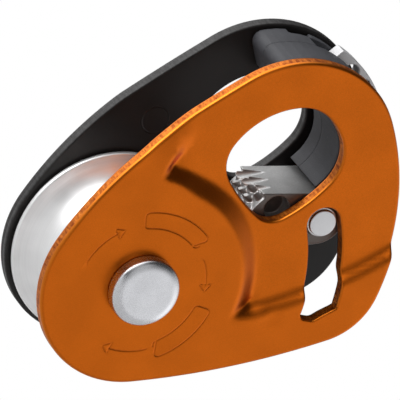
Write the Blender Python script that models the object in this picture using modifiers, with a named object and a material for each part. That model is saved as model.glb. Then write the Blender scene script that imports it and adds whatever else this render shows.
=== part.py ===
"""Rope pulley with a toothed cam and a swinging side plate.

Frame: origin in the carabiner eye near the middle of its height, straight above the sheave axle
and halfway between the side plates; +Z up towards the carabiner, the sheave axle along Y and
hanging below the origin, the swinging side plate on the -Y side.
"""
import math

import bmesh
import bpy
from mathutils import Matrix, Vector

MM = 0.001

# ---- driving dimensions, millimetres -------------------------------------------------------
AXLE_DROP = 32.4            # origin down to the sheave axle
PLATE_T = 2.3               # side plate sheet
CHANNEL = 15.5              # clear width between the side plates round the sheave
RECESS = 1.8                # how far the eye half of the swinging plate is pressed inward
FOOT = (0.0, 0.0, 18.3)     # corners of both plates' outline: x, height over the axle, radius
LOBE = (23.9, 23.0, 12.0)
CROWN = (2.8, 32.9, 19.2)
SHOULDER = (-4.1, 16.7, 15.6)
SIDE_BULGES = (148.0, 48.0, 400.0, 64.5)    # radii of the long sides that join those corners
EYE_CORNERS = ((-1.8, 29.4, 6.3), (5.8, 27.2, 4.5), (3.1, 34.7, 8.0), (1.2, 35.0, 8.0))
EYE_BULGES = (31.0, 26.0, 13.0, 14.0)
REAR_EYE_LESS = 0.6         # the rear plate's eye is this much smaller all round
STEP_R = 18.3               # pressed step round the sheave: foot radius and width
STEP_RUN = 3.7
RIB_CENTRE = (-43.9, 51.9)  # pressed step beside the slot, an arc about this point
RIB_R = 74.9
RIB_RUN = 2.2
RAMP_X = -13.8              # left of this the recess fades out in a ramp down to the sheave end
RAMP_HEIGHTS = (15.0, 27.0)
SLOT_R = (31.4, 37.6)       # slot edges, radii about the sheave axle
SLOT_END = 61.3             # degrees from +X, centre of the round upper end
SLOT_FOOT = ((29.9, 19.5), (28.7, 17.4), (27.9, 16.7), (27.3, 16.6))    # lower end
SHEAVE_R = 17.5
TREAD_R = 12.5
SHEAVE_HALF = 7.2
BORE_R = 9.9                # sheave bore over the bearing
AXLE_R = 4.0
HEAD_R = 6.2
HEAD_T = 2.9
CAM_AXLE = (16.9, 30.2)
CAM_AXLE_R = 2.4
HUB_R = 4.9
CAM_HALF = 5.5
CAM_NEAR = 12.5             # toothed face: distance from the pivot at its upper end
CAM_FAR = 17.7              # and at its tip
CAM_START = 203.1           # degrees, direction of the upper end seen from the pivot
CAM_SWEEP = 35.9
TOOTH_H = 1.3
TOOTH_ROWS = 8
STUD_R = 2.75               # cam axle head, it slides in the slot
STUD_FRONT = -7.45
BODY_ARC = (2.4, 33.6, 17.7)
BODY_FRONT = -5.6
BODY_SPLIT = (1.9, 2.2)
BODY_REAR = 7.45
BODY_END = (-10.1, 43.25, 1.92)     # rounding of the arch's free end
REBATE_Y = 5.9              # the eye's wall steps back behind this
RIVETS = ((-5.0, 45.4), (23.2, 35.4))
RIVET_R = 1.5
CATCH_PIN = (18.2, 40.0)
CATCH_PIN_R = 1.1
CATCH_ARC = (4.6, 31.0, 22.0)
CATCH_INNER = (1.0, 31.6, 15.9)
CATCH_Y = (2.5, 5.3)
CATCH_PRESS = 2.3           # room under the free end for pressing the catch in
CATCH_POCKET_ANGLES = (14.0, 109.0)
CATCH_SPRING_A = 48.0       # direction of the catch spring seen from the crown centre
BALLS = 9
PITCH_R = 7.15

INNER = CHANNEL / 2
OUTER = INNER + PLATE_T


# ---- scene ---------------------------------------------------------------------------------
for old in list(bpy.data.objects):
    bpy.data.objects.remove(old, do_unlink=True)
parts = bpy.data.collections.new("rope_pulley")
cutters = bpy.data.collections.new("cutters")
bpy.context.scene.collection.children.link(parts)
bpy.context.scene.collection.children.link(cutters)


def material(name, colour, metallic, roughness):
    mat = bpy.data.materials.new(name)
    mat.use_nodes = True
    shader = mat.node_tree.nodes["Principled BSDF"]
    shader.inputs["Base Color"].default_value = (*colour, 1.0)
    shader.inputs["Metallic"].default_value = metallic
    shader.inputs["Roughness"].default_value = roughness
    return mat


ORANGE = material("orange_anodised_aluminium", (0.45, 0.09, 0.01), 0.8, 0.4)
BLACK = material("black_anodised_aluminium", (0.02, 0.02, 0.022), 0.6, 0.45)
ALUMINIUM = material("bare_aluminium", (0.8, 0.8, 0.82), 1.0, 0.3)
STEEL = material("stainless_steel", (0.55, 0.55, 0.56), 1.0, 0.3)
BEARING = material("bearing_steel", (0.5, 0.5, 0.52), 1.0, 0.2)
SEAL = material("seal_rubber", (0.03, 0.03, 0.03), 0.0, 0.7)
PLASTIC = material("charcoal_plastic", (0.06, 0.06, 0.065), 0.0, 0.6)
LINER = material("acetal_liner", (0.6, 0.58, 0.52), 0.0, 0.5)
SPRING = material("spring_wire", (0.45, 0.45, 0.46), 1.0, 0.25)


# ---- outline helpers, plan coordinates are (x, height over the sheave axle) ---------------
def arc(cx, cz, radius, start, end, steps):
    """Points on an arc, angles in degrees, both ends included."""
    points = []
    for i in range(steps + 1):
        a = math.radians(start + (end - start) * i / steps)
        points.append((cx + radius * math.cos(a), cz + radius * math.sin(a)))
    return points


def bulged_outline(corners, bulges, pitch):
    """Closed outline round corner circles listed anticlockwise, one arc radius for each side."""
    centres = []
    count = len(corners)
    for i in range(count):
        ax, az, ar = corners[i]
        bx, bz, br = corners[(i + 1) % count]
        span = math.hypot(bx - ax, bz - az)
        da = bulges[i] - ar
        db = bulges[i] - br
        along = (da * da - db * db + span * span) / (2 * span)
        off = math.sqrt(da * da - along * along)
        ux = (bx - ax) / span
        uz = (bz - az) / span
        centres.append((ax + ux * along - uz * off, az + uz * along + ux * off))
    points = []
    for i in range(count):
        ax, az, ar = corners[i]
        before = centres[i - 1]
        after = centres[i]
        start = math.degrees(math.atan2(az - before[1], ax - before[0]))
        end = math.degrees(math.atan2(az - after[1], ax - after[0]))
        while end < start:
            end += 360.0
        steps = max(2, round(math.radians(end - start) * ar / pitch))
        points += arc(ax, az, ar, start, end, steps)
        bx, bz, br = corners[(i + 1) % count]
        stop = math.degrees(math.atan2(bz - after[1], bx - after[0]))
        while stop < end:
            stop += 360.0
        steps = max(2, round(math.radians(stop - end) * bulges[i] / (2.5 * pitch)))
        points += arc(after[0], after[1], bulges[i], end, stop, steps)[1:-1]
    return points


def plate_outline(pitch=2.0):
    return bulged_outline((FOOT, LOBE, CROWN, SHOULDER), SIDE_BULGES, pitch)


def eye_outline(grow=0.0, pitch=1.3):
    corners = [(c[0], c[1], c[2] + grow) for c in EYE_CORNERS]
    return bulged_outline(corners, [b + grow for b in EYE_BULGES], pitch)


# ---- solid helpers -------------------------------------------------------------------------
UPRIGHT = (math.radians(90), 0.0, 0.0)     # turns a flat drawing's +Z to the object's -Y


def point(x, y, z):
    return Vector((x, y, z - AXLE_DROP)) * MM


def register(obj, mat):
    """A piece goes in the parts collection, anything without a material is a cutter."""
    if mat is None:
        cutters.objects.link(obj)
        obj.hide_render = True
        obj.display_type = "WIRE"
    else:
        parts.objects.link(obj)
        obj.data.materials.append(mat)
    return obj


def new_object(name, bm, mat=None):
    mesh = bpy.data.meshes.new(name)
    bm.to_mesh(mesh)
    bm.free()
    return register(bpy.data.objects.new(name, mesh), mat)


def round_off(obj):
    obj.data.shade_smooth()
    obj.data.set_sharp_from_angle(angle=math.radians(35))
    return obj


def set_origin(obj, x, y, z):
    """Moves the object's origin to a point, geometry stays where it is."""
    shift = point(x, y, z) - obj.location
    local = obj.rotation_euler.to_matrix().inverted() @ shift
    obj.data.transform(Matrix.Translation(-local))
    obj.location += shift


def prism(name, outline, y0, y1, mat=None):
    """Flat outline extruded along Y, made from a filled 2D curve."""
    curve = bpy.data.curves.new(name, "CURVE")
    curve.dimensions = "2D"
    curve.fill_mode = "BOTH"
    curve.extrude = (y1 - y0) / 2 * MM
    spline = curve.splines.new("POLY")
    spline.points.add(len(outline) - 1)
    for i, (x, z) in enumerate(outline):
        spline.points[i].co = (x * MM, (z - AXLE_DROP) * MM, 0.0, 1.0)
    spline.use_cyclic_u = True
    drawing = bpy.data.objects.new(name + "_outline", curve)
    bpy.context.scene.collection.objects.link(drawing)
    drawing.rotation_euler = UPRIGHT
    drawing.location = (0.0, (y0 + y1) / 2 * MM, 0.0)
    graph = bpy.context.evaluated_depsgraph_get()
    mesh = bpy.data.meshes.new_from_object(drawing.evaluated_get(graph))
    bm = bmesh.new()
    bm.from_mesh(mesh)
    bmesh.ops.remove_doubles(bm, verts=bm.verts, dist=1e-6)
    bmesh.ops.recalc_face_normals(bm, faces=bm.faces)
    bm.to_mesh(mesh)
    bm.free()
    mesh.name = name
    mesh.materials.clear()
    obj = bpy.data.objects.new(name, mesh)
    obj.rotation_euler = UPRIGHT
    obj.location = drawing.location
    bpy.data.objects.remove(drawing, do_unlink=True)
    bpy.data.curves.remove(curve)
    return round_off(register(obj, mat))


def lathe(name, profile, centre, mat=None, steps=48):
    """(radius, y) profile turned about the Y line through centre."""
    area = sum(a[0] * b[1] - b[0] * a[1] for a, b in zip(profile, profile[1:] + profile[:1]))
    if area < 0:
        profile = profile[::-1]
    bm = bmesh.new()
    ring = [bm.verts.new((r * MM, 0.0, -y * MM)) for r, y in profile]
    for a, b in zip(ring, ring[1:]):
        bm.edges.new((a, b))
    if profile[0][0] > 0:
        bm.edges.new((ring[-1], ring[0]))
    obj = new_object(name, bm, mat)
    obj.rotation_euler = UPRIGHT
    obj.location = point(centre[0], 0.0, centre[1])
    screw = obj.modifiers.new("turn", "SCREW")
    screw.axis = "Z"
    screw.angle = 2 * math.pi
    screw.screw_offset = 0.0
    screw.steps = steps
    screw.render_steps = steps
    screw.use_merge_vertices = True
    screw.merge_threshold = 0.00001
    screw.use_smooth_shade = True
    return obj


def drum(radius, y0, y1, edge=0.0):
    """Profile of a solid round bar with chamfered ends."""
    if edge <= 0:
        return [(0, y0), (radius, y0), (radius, y1), (0, y1)]
    return [(0, y0), (radius - edge, y0), (radius, y0 + edge), (radius, y1 - edge),
            (radius - edge, y1), (0, y1)]


def tube(inner, outer, y0, y1, edge=0.0):
    """Profile of a ring with chamfered outer corners."""
    if edge <= 0:
        return [(inner, y0), (outer, y0), (outer, y1), (inner, y1)]
    return [(inner, y0), (outer - edge, y0), (outer, y0 + edge), (outer, y1 - edge),
            (outer - edge, y1), (inner, y1)]


def boolean(obj, tool, operation):
    mod = obj.modifiers.new(operation.lower(), "BOOLEAN")
    mod.operation = operation
    mod.solver = "EXACT"
    mod.object = tool


def cut(obj, tool):
    boolean(obj, tool, "DIFFERENCE")


def fuse(obj, tool):
    boolean(obj, tool, "UNION")


def coil(name, centre, axis, radius, wire, pitch, turns, start, lead, mat):
    """Round-wire coil from a bevelled poly curve, optional straight lead at each end."""
    axis = Vector(axis).normalized()
    side = axis.orthogonal().normalized()
    other = axis.cross(side)
    steps = round(turns * 16)
    path = []
    for i in range(steps + 1):
        a = math.radians(start) + 2 * math.pi * i / 16
        out = side * math.cos(a) + other * math.sin(a)
        path.append(Vector(centre) + out * radius + axis * pitch * i / 16)
    if lead > 0:
        first = (path[0] - path[1]).normalized()
        last = (path[-1] - path[-2]).normalized()
        path.insert(0, path[0] + first * lead)
        path.append(path[-1] + last * lead)
    curve = bpy.data.curves.new(name, "CURVE")
    curve.dimensions = "3D"
    curve.bevel_depth = wire / 2 * MM
    curve.bevel_resolution = 2
    curve.use_fill_caps = True
    spline = curve.splines.new("POLY")
    spline.points.add(len(path) - 1)
    for i, p in enumerate(path):
        spline.points[i].co = (*point(p.x, p.y, p.z), 1.0)
    return register(bpy.data.objects.new(name, curve), mat)


AXLE = (0.0, 0.0)

# ---- rear side plate -----------------------------------------------------------------------
rear = prism("rear_side_plate", plate_outline(), INNER, OUTER, BLACK)
cut(rear, prism("cut_rear_eye", eye_outline(-REAR_EYE_LESS), INNER - 1, OUTER + 1))
cut(rear, lathe("cut_rear_axle", [(0, INNER - 1), (AXLE_R + 0.1, INNER - 1),
                                  (AXLE_R + 0.1, OUTER - 1.3), (AXLE_R + 1.9, OUTER + 0.5),
                                  (AXLE_R + 1.9, OUTER + 1), (0, OUTER + 1)], AXLE, steps=32))
for name, spot, radius in (("cam_axle", CAM_AXLE, CAM_AXLE_R), ("rivet_1", RIVETS[0], RIVET_R),
                           ("rivet_2", RIVETS[1], RIVET_R), ("catch_pin", CATCH_PIN, CATCH_PIN_R)):
    cut(rear, lathe("cut_rear_" + name, drum(radius + 0.1, INNER - 1, OUTER + 1), spot, steps=24))

# ---- swinging side plate -------------------------------------------------------------------
front = prism("swing_side_plate", plate_outline(), -OUTER, -INNER + RECESS, ORANGE)


def ramp(name, outline):
    """(y, height) outline extruded along X, it lies left of RAMP_X."""
    bm = bmesh.new()
    left = [bm.verts.new(point(-40, y, z)) for y, z in outline]
    right = [bm.verts.new(point(RAMP_X, y, z)) for y, z in outline]
    bm.faces.new(left)
    bm.faces.new(right[::-1])
    for i in range(len(outline)):
        k = (i + 1) % len(outline)
        bm.faces.new((left[i], right[i], right[k], left[k]))
    bmesh.ops.recalc_face_normals(bm, faces=bm.faces)
    return new_object(name, bm)


# back of the plate: hollow behind the sheave end, behind the lobe and behind the ramp
RIB_SLOPE = RIB_RUN / RECESS
RAMP_SLOPE = (RAMP_HEIGHTS[1] - RAMP_HEIGHTS[0]) / RECESS
cut(front, lathe("cut_foot_back", [(0, -INNER), (STEP_R - 0.4, -INNER),
                                   (STEP_R - 0.4 + STEP_RUN / RECESS * 4, -INNER + 4), (0, -INNER + 4)],
                 AXLE, steps=72))
cut(front, lathe("cut_lobe_back", [(RIB_R + 0.3 + RIB_RUN, -INNER), (150, -INNER), (150, -INNER + 4),
                                   (RIB_R + 0.3 + RIB_RUN - RIB_SLOPE * 4, -INNER + 4)],
                 RIB_CENTRE, steps=216))
cut(front, ramp("cut_ramp_back", [(-INNER, -30), (-INNER, RAMP_HEIGHTS[0]),
                                  (-INNER + 4, RAMP_HEIGHTS[0] + RAMP_SLOPE * 4), (-INNER + 4, -30)]))
# front of the plate: the recess, less the lobe side of the rib and less the ramp
floor_y = -OUTER + RECESS
recess = lathe("cut_recess", [(STEP_R - STEP_RUN / RECESS, -OUTER - 1), (STEP_R + STEP_RUN, floor_y),
                              (70, floor_y), (70, -OUTER - 1)], AXLE, steps=72)
cut(recess, lathe("cut_recess_lobe", [(RIB_R - RIB_SLOPE, floor_y + 1), (150, floor_y + 1),
                                      (150, -OUTER - 2), (RIB_R + RIB_RUN + RIB_SLOPE * 2, -OUTER - 2)],
                  RIB_CENTRE, steps=216))
cut(recess, ramp("cut_recess_ramp", [(-OUTER - 2, -30), (-OUTER - 2, RAMP_HEIGHTS[0] - RAMP_SLOPE * 2),
                                     (floor_y + 1, RAMP_HEIGHTS[1] + RAMP_SLOPE), (floor_y + 1, -30)]))
cut(front, recess)
cut(front, prism("cut_front_eye", eye_outline(), -OUTER - 1, -INNER + 3))


def slot_outline():
    """Slot about the sheave axle: round upper end, slanting lower end."""
    middle = sum(SLOT_R) / 2
    half = (SLOT_R[1] - SLOT_R[0]) / 2
    foot_angles = [math.degrees(math.atan2(z, x)) for x, z in SLOT_FOOT]
    a = math.radians(SLOT_END)
    points = arc(0, 0, SLOT_R[1], foot_angles[0] + 2.8, SLOT_END, 10)
    points += arc(middle * math.cos(a), middle * math.sin(a), half, SLOT_END, SLOT_END + 180, 12)[1:-1]
    points += arc(0, 0, SLOT_R[0], SLOT_END, foot_angles[-1] + 1.0, 10)
    return points + list(SLOT_FOOT[::-1])


cut(front, prism("cut_slot", slot_outline(), -OUTER - 1, -INNER + 3))
cut(front, lathe("cut_front_axle", drum(5.3, -OUTER - 1, -INNER + 1), AXLE, steps=40))
set_origin(front, 0, 0, 0)

# ---- sheave, bearing and axle --------------------------------------------------------------
flank = [(TREAD_R, 0.0), (TREAD_R + 0.2, 1.7), (TREAD_R + 1.0, 3.5), (TREAD_R + 2.4, 5.1),
         (SHEAVE_R - 0.3, 6.1), (SHEAVE_R, 6.4), (SHEAVE_R, SHEAVE_HALF)]
side = [(BORE_R + 1.6, SHEAVE_HALF), (BORE_R + 1.2, 4.6), (BORE_R, 4.4)]
profile = [(r, y) for r, y in flank + side] + [(r, -y) for r, y in (flank + side)[:0:-1]]
lathe("sheave", profile, AXLE, ALUMINIUM, 52)

race_half = 4.0
lathe("bearing_outer_race", [(BORE_R - 0.2, -race_half), (BORE_R - 0.2, race_half), (8.6, race_half),
                             (8.6, 1.3), (8.95, 0), (8.6, -1.3), (8.6, -race_half)],
      AXLE, BEARING, 40)
lathe("bearing_inner_race", [(AXLE_R + 0.15, -race_half), (5.7, -race_half), (5.7, -1.3),
                             (5.35, 0), (5.7, 1.3), (5.7, race_half), (AXLE_R + 0.15, race_half)],
      AXLE, BEARING, 36)
ball_mesh = None
for i in range(BALLS):
    a = 2 * math.pi * i / BALLS
    if ball_mesh is None:
        bm = bmesh.new()
        bmesh.ops.create_icosphere(bm, subdivisions=2, radius=1.35 * MM)
        ball = round_off(new_object("bearing_ball_1", bm, BEARING))
        ball_mesh = ball.data
    else:
        ball = bpy.data.objects.new(f"bearing_ball_{i + 1}", ball_mesh)
        parts.objects.link(ball)
    ball.location = point(PITCH_R * math.cos(a), 0, PITCH_R * math.sin(a))
cage = lathe("bearing_cage", tube(6.6, 7.7, 1.7, 2.3), AXLE, LINER, 40)
bm = bmesh.new()
for i in range(BALLS):
    a = 2 * math.pi * (i + 0.5) / BALLS
    place = Matrix.Translation(point(PITCH_R * math.cos(a), 0.05, PITCH_R * math.sin(a)))
    size = Matrix.Diagonal((0.8 * MM, 3.7 * MM, 0.8 * MM, 1.0))
    bmesh.ops.create_cube(bm, size=1.0, matrix=place @ Matrix.Rotation(-a, 4, "Y") @ size)
fuse(cage, new_object("cage_fingers", bm))
for name, s in (("bearing_seal_front", -1), ("bearing_seal_rear", 1)):
    lathe(name, tube(5.95, 8.35, min(s * 3.1, s * 3.6), max(s * 3.1, s * 3.6)), AXLE, SEAL, 40)
lathe("spacer_front", tube(AXLE_R + 0.15, 5.5, -6.9, -race_half - 0.15, 0.2), AXLE, ALUMINIUM, 28)
lathe("spacer_rear", tube(AXLE_R + 0.15, 5.5, race_half + 0.15, INNER - 0.15, 0.2), AXLE, ALUMINIUM, 28)
lathe("swing_washer", tube(AXLE_R + 0.15, 8.4, -INNER + 0.15, -7.05), AXLE, LINER, 36)
lathe("swing_bush", [(AXLE_R + 0.15, -OUTER - 0.05), (5.1, -OUTER - 0.05), (5.1, -INNER - 0.1),
                     (AXLE_R + 0.15, -INNER - 0.1)], AXLE, LINER, 36)
y_head = -OUTER - 0.15
lathe("sheave_axle", [(0, OUTER - 0.25), (AXLE_R + 0.85, OUTER - 0.25), (AXLE_R, OUTER - 1.15),
                      (AXLE_R, y_head), (HEAD_R, y_head), (HEAD_R, -OUTER - HEAD_T + 0.8),
                      (HEAD_R - 0.25, -OUTER - HEAD_T + 0.25), (HEAD_R - 0.8, -OUTER - HEAD_T),
                      (0, -OUTER - HEAD_T)], AXLE, STEEL, 48)

# ---- cam -----------------------------------------------------------------------------------
px, pz = CAM_AXLE


def cam_outline():
    """Toothed spiral from the upper end to the tip, then back round the hub."""
    points = []
    for i in range(13):
        t = i / 12
        a = math.radians(CAM_START + CAM_SWEEP * t)
        r = CAM_NEAR + (CAM_FAR - CAM_NEAR) * t - TOOTH_H
        points.append((px + r * math.cos(a), pz + r * math.sin(a)))
    points += arc(px, pz, CAM_FAR - TOOTH_H, CAM_START + CAM_SWEEP + 3, CAM_START + CAM_SWEEP + 9, 2)
    points += arc(px, pz, HUB_R, 322, 322 + 177, 18)
    points += [(px + (CAM_NEAR - 0.5) * math.cos(math.radians(CAM_START - 3)),
                pz + (CAM_NEAR - 0.5) * math.sin(math.radians(CAM_START - 3)))]
    return points


def tooth_grid():
    """Conical teeth in staggered rows down the spiral face, leaning up towards the grip."""
    bm = bmesh.new()
    for row in range(TOOTH_ROWS):
        t = (row + 0.5) / TOOTH_ROWS
        a = math.radians(CAM_START + CAM_SWEEP * t)
        r = CAM_NEAR + (CAM_FAR - CAM_NEAR) * t
        out = Vector((math.cos(a), 0, math.sin(a)))
        lean = (out + Vector((math.sin(a), 0, -math.cos(a))) * 0.3).normalized()
        turn = lean.to_track_quat("Z", "Y").to_matrix().to_4x4()
        lanes = (-4.2, -1.4, 1.4, 4.2) if row % 2 == 0 else (-2.8, 0.0, 2.8)
        for lane in lanes:
            middle = point(px, lane, pz) + out * (r - TOOTH_H / 2 - 0.2) * MM
            bmesh.ops.create_cone(bm, cap_ends=True, segments=8, radius1=0.72 * MM, radius2=0.06 * MM,
                                  depth=(TOOTH_H + 0.5) * MM, matrix=Matrix.Translation(middle) @ turn)
    return new_object("cam_teeth", bm)


cam = prism("cam", cam_outline(), -CAM_HALF, CAM_HALF, STEEL)
fuse(cam, lathe("cam_hub", [(0, -CAM_HALF - 0.1), (HUB_R - 0.3, -CAM_HALF - 0.1), (HUB_R, -CAM_HALF + 0.2),
                            (HUB_R, CAM_HALF - 0.2),
                            (3.35, CAM_HALF), (3.35, 7.4), (0, 7.4)], CAM_AXLE, steps=40))
fuse(cam, tooth_grid())
cut(cam, lathe("cut_cam_bore", drum(CAM_AXLE_R + 0.55, -8, 8), CAM_AXLE, steps=32))
cut(cam, lathe("cut_cam_recess", drum(2.2, -CAM_HALF - 1, -CAM_HALF + 3.2), (9.4, 26.2), steps=24))
set_origin(cam, px, 0, pz)
lathe("cam_bush", tube(CAM_AXLE_R + 0.1, CAM_AXLE_R + 0.45, -CAM_HALF - 0.05, 7.35), CAM_AXLE, LINER, 32)
neck = CAM_AXLE_R
lathe("cam_axle", [(0, OUTER - 0.2), (neck, OUTER - 0.2), (neck, -CAM_HALF - 0.4),
                   (STUD_R, -CAM_HALF - 0.4), (STUD_R, STUD_FRONT + 0.8),
                   (STUD_R - 0.15, STUD_FRONT + 0.65), (STUD_R - 0.3, STUD_FRONT + 0.65),
                   (STUD_R - 0.3, STUD_FRONT + 0.15), (STUD_R - 0.45, STUD_FRONT), (0, STUD_FRONT)],
      CAM_AXLE, STEEL, 40)
coil("cam_spring", (px, 5.95, pz), (0, 1, 0), 3.95, 0.6, 0.66, 1.75, 20, 2.4, SPRING)


# ---- body between the plates, beside and over the eye ---------------------------------------
def body_half(name, y0, y1):
    corners = [(0.0, 0.0, 16.0), (LOBE[0], LOBE[1], LOBE[2] - 0.9), BODY_ARC]
    obj = prism(name, bulged_outline(corners, (148, 60, 110), 1.8), y0, y1, PLASTIC)
    # only the arch over the eye and down to the cam is kept
    keep_away = [(-40, 38.2), (-12.6, 41.6), (-6.4, 38.6), (-3.0, 35.0), (4.6, 25.8), (11.9, 34.2),
                 (px, 30.0), (px + 6.2, 31.6), (40, 31.6), (40, -40), (-40, -40)]
    cut(obj, prism(f"cut_{name}_below", keep_away, y0 - 1, y1 + 1))
    cut(obj, prism(f"cut_{name}_eye", eye_outline(0.05), y0 - 1, y1 + 1))
    rounding = arc(*BODY_END, 142.3, 244.2, 10)
    under = [(-4.7, 38.5), (-4.7, 36.0), (-20, 36.0), (-20, 50)]
    cut(obj, prism(f"cut_{name}_end", rounding + under, y0 - 1, y1 + 1))
    cut(obj, lathe(f"cut_{name}_hub", drum(HUB_R + 0.5, y0 - 1, y1 + 1), CAM_AXLE, steps=40))
    cut(obj, lathe(f"cut_{name}_rib", tube(RIB_R - 2.3, 150, y0 - 1, y1 + 1), RIB_CENTRE, steps=216))
    hole = drum(RIVET_R + 0.15, y0 - 1, y1 + 1)
    if y0 == BODY_FRONT:
        wide = RIVET_R + 1.25
        hole = [(0, y0 - 1), (wide, y0 - 1), (wide, y0 + 0.1), (RIVET_R + 0.15, y0 + 1.2),
                (RIVET_R + 0.15, y1 + 1), (0, y1 + 1)]
    for k, spot in enumerate(RIVETS):
        cut(obj, lathe(f"cut_{name}_rivet_{k}", hole, spot, steps=20))
    cut(obj, lathe(f"cut_{name}_pin", drum(CATCH_PIN_R + 0.15, y0 - 1, y1 + 1), CATCH_PIN, steps=16))
    return obj


body_front = body_half("body_front_half", BODY_FRONT, BODY_SPLIT[0])
body_rear = body_half("body_rear_half", BODY_SPLIT[1], BODY_REAR)


def catch_outline():
    """Curved arm from the free end over the eye down to the boss on the pin."""
    cx, cz, outer = CATCH_ARC
    ix, iz, inner = CATCH_INNER
    points = [(CATCH_PIN[0] + 2.2, CATCH_PIN[1] - 0.6)]
    points += arc(cx, cz, outer, 42, 103.4, 20)
    points += arc(ix, iz, inner, 97, 30, 20)
    return points


# the arm's pocket deepens towards the free end, so that the arm can be pressed in
hub_x, hub_z, _ = CATCH_INNER
low, high = CATCH_POCKET_ANGLES
floor = []
for i in range(21):
    t = i / 20
    a = math.radians(high + (low - high) * t)
    r = CATCH_INNER[2] - 0.4 - CATCH_PRESS * (1 - t)
    floor.append((hub_x + r * math.cos(a), hub_z + r * math.sin(a)))
walls = floor + arc(hub_x, hub_z, 30, low, high, 20)
cut(body_rear, prism("cut_catch_pocket", walls, BODY_SPLIT[1] - 1, CATCH_Y[1] + 0.3))
# open pocket for the catch's coil spring, square to the arm
sa = math.radians(CATCH_SPRING_A)
reach = Vector((math.cos(sa), 0, math.sin(sa)))
across = Vector((-math.sin(sa), 0, math.cos(sa)))
base = Vector((hub_x, 0, hub_z))
nest = []
for r, w in ((12.1, -1.5), (16.5, -1.5), (16.5, 1.5), (12.1, 1.5)):
    p = base + reach * r + across * w
    nest.append((p.x, p.z))
cut(body_rear, prism("cut_spring_nest", nest, BODY_SPLIT[1] - 1, CATCH_Y[1] + 0.2))
bx, bz, _ = BODY_ARC
scoop = arc(bx, bz, 15.6, 114, 128, 4) + arc(bx, bz, 20.0, 128, 114, 4)
cut(body_rear, prism("cut_scoop", scoop, BODY_REAR - 1.5, BODY_REAR + 1))
cut(body_rear, prism("cut_rebate", eye_outline(1.5), REBATE_Y, BODY_REAR + 1))
catch = prism("cam_catch", catch_outline(), CATCH_Y[0], CATCH_Y[1], STEEL)
fuse(catch, lathe("catch_boss", drum(2.5, CATCH_Y[0], CATCH_Y[1]), CATCH_PIN, steps=28))
cut(catch, lathe("cut_catch_bore", drum(CATCH_PIN_R + 0.15, 1, 7), CATCH_PIN, steps=16))
for spot, radius in (((3.9, 50.9), 1.5), ((7.7, 51.1), 1.1)):
    cut(catch, lathe(f"cut_catch_hole_{radius:.0f}", drum(radius, 1, 7), spot, steps=20))
set_origin(catch, CATCH_PIN[0], 0, CATCH_PIN[1])
lathe("catch_pin", drum(CATCH_PIN_R, BODY_FRONT + 0.3, OUTER - 0.2, 0.15), CATCH_PIN, STEEL, 16)
seat = base + reach * 12.5
coil("catch_spring", (seat.x, 3.85, seat.z), reach, 1.0, 0.4, 0.76, 4.0, 0, 0, SPRING)

for i, spot in enumerate(RIVETS):
    lathe(f"body_rivet_{i + 1}", [(0, BODY_FRONT + 0.1), (RIVET_R + 1.0, BODY_FRONT + 0.1),
                                  (RIVET_R, BODY_FRONT + 1.1), (RIVET_R, OUTER - 0.2), (0, OUTER - 0.2)],
          spot, STEEL, 20)
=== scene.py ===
"""Studio scene of a rope pulley with a toothed cam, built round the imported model."""
import math

import bmesh
import bpy
import numpy as np
from mathutils import Matrix, Vector, geometry


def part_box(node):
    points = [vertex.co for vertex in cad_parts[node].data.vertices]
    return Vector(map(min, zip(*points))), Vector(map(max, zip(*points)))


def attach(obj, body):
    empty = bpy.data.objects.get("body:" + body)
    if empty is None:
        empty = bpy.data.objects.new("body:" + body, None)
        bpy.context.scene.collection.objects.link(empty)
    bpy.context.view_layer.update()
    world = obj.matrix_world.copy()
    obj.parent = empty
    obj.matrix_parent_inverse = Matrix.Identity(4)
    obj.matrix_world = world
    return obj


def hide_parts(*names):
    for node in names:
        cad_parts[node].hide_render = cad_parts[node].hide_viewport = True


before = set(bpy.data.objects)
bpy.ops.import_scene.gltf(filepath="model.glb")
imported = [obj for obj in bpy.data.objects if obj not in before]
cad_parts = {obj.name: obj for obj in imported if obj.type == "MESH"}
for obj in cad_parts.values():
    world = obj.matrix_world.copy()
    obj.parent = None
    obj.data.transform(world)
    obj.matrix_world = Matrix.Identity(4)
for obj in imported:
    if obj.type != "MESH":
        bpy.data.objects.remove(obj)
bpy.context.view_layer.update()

MM = 0.001


def middle(node):
    low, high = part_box(node)
    return (low + high) / 2


def span(node):
    """Lowest and highest y of a node, millimetres."""
    low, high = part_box(node)
    return low.y / MM, high.y / MM


AXLE = middle("sheave")
AXLE_Z = AXLE.z / MM
INNER, OUTER = span("rear_side_plate")
PLATE_T = OUTER - INNER
RECESS = span("swing_side_plate")[1] + OUTER - PLATE_T      # the swinging plate's pressed depth


def at(x, y, h):
    """Millimetres, h above the sheave axle, to metres in the frame."""
    return Vector((x * MM, y * MM, (h + AXLE_Z) * MM))


def spot(node):
    """x and height over the sheave axle of a node's middle, millimetres."""
    centre = middle(node)
    return centre.x / MM, centre.z / MM - AXLE_Z


CAM_X, CAM_H = spot("cam_axle")
RIVETS = [spot("body_rivet_1"), spot("body_rivet_2")]

# ---- driving dimensions, millimetres ---------------------------------------------------------
PLATE_CORNERS = ((0, 0, 18.3), (23.9, 23.0, 12.0), (2.8, 32.9, 19.2), (-4.1, 16.7, 15.6))
PLATE_BULGES = (148.0, 48.0, 400.0, 64.5)       # radii of the long sides between the corners
EYE_CORNERS = ((-1.8, 29.4, 6.3), (5.8, 27.2, 4.5), (3.1, 34.7, 8.0), (1.2, 35.0, 8.0))
EYE_BULGES = (31.0, 26.0, 13.0, 14.0)
REAR_EYE_LESS = 0.6                             # the rear plate's eye is smaller all round
SLOT_IN, SLOT_OUT = 31.4, 37.6                  # radii of the slot's sides about the axle
SLOT_START, SLOT_END = 36.0, 61.3               # angles where the outer side starts and ends
SLOT_IN_START = 32.4
SLOT_FOOT = ((27.3, 16.5), (29.2, 17.75), (29.5, 19.2))     # the mouth between the two sides
STEP_FOOT, STEP_CREST = 18.1, 22.1              # radii where the step round the sheave runs
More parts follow.
